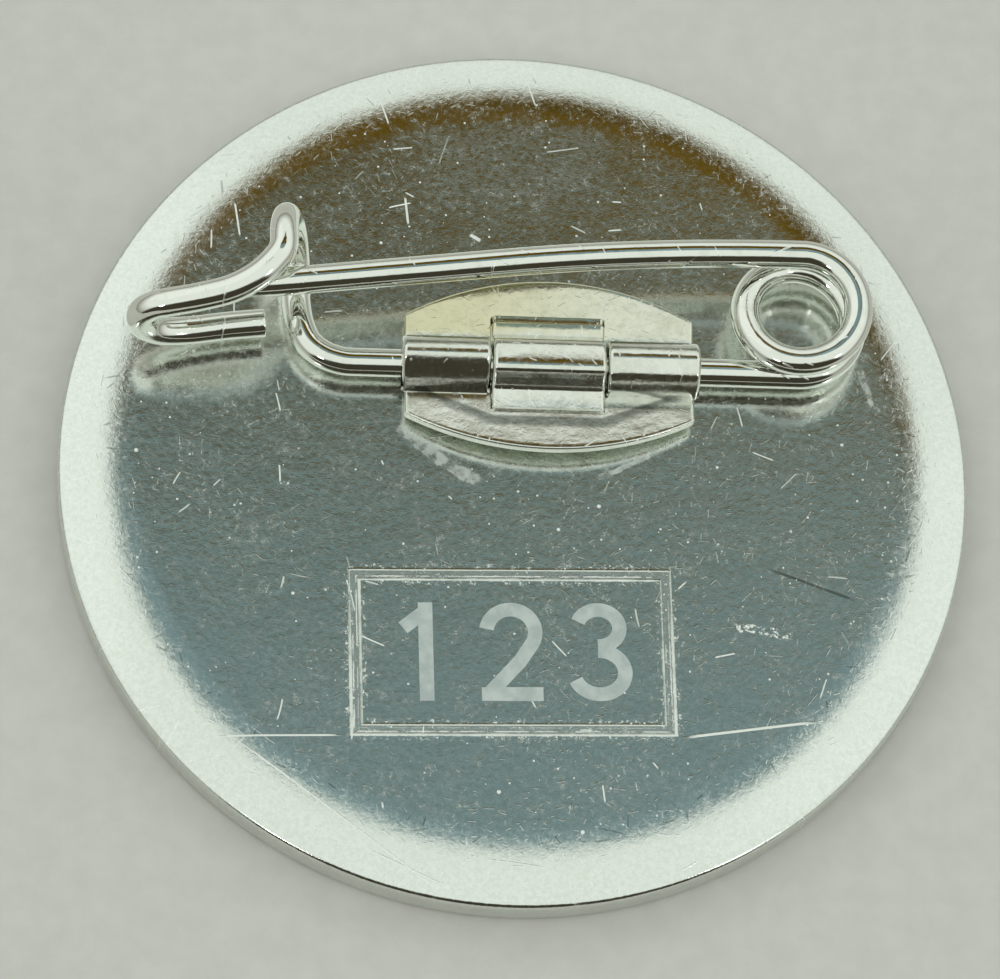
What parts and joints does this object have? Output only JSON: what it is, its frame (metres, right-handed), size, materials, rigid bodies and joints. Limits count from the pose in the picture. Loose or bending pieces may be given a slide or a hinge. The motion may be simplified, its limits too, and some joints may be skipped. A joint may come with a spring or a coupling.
{
  "type": "pin-back badge",
  "caption": "Round polished metal badge with a plain enamelled front and a coiled brooch pin in a knuckle joint on its back.",
  "frame": {"origin": "centre of the front rim, on the plane that the badge lies on when face down", "axes": "+Z out of the back, +X along the pin's fixed arm from the catch to the coil, +Y from the badge's centre towards the pin"},
  "size_m": [0.0384, 0.0384, 0.008],
  "materials": {
    "polished_nickel": "polished nickel plate with fine scratches",
    "pin_wire": "bright nickel-plated wire",
    "solder": "dull soft solder",
    "enamel": "smooth glossy enamel"
  },
  "bodies": {
    "badge": {"badge_body": "polished_nickel", "front_enamel": "enamel", "solder_bed": "solder", "joint_plate": "polished_nickel", "left_knuckle": "polished_nickel", "middle_knuckle": "polished_nickel", "right_knuckle": "polished_nickel"},
    "pin_frame": {"fixed_arm": "pin_wire", "catch_hook": "pin_wire", "spring_coil": "pin_wire"},
    "pin_arm": {"pin_arm": "pin_wire"}
  },
  "joints": [
    {"name": "pin_swivel", "type": "hinge", "parent": "badge", "child": "pin_frame", "pos_m": [0.0013, 0.004, 0.0032], "axis": [1, 0, 0], "range_deg": [0, 90]},
    {"name": "pin_release", "type": "hinge", "parent": "pin_frame", "child": "pin_arm", "pos_m": [0.01185, 0.00635, 0.0051], "axis": [0, 0.342, 0.9397], "range_deg": [-3, 6.5], "stiffness_Nm_per_rad": 0.35, "deforming": ["spring_coil"]}
  ]
}
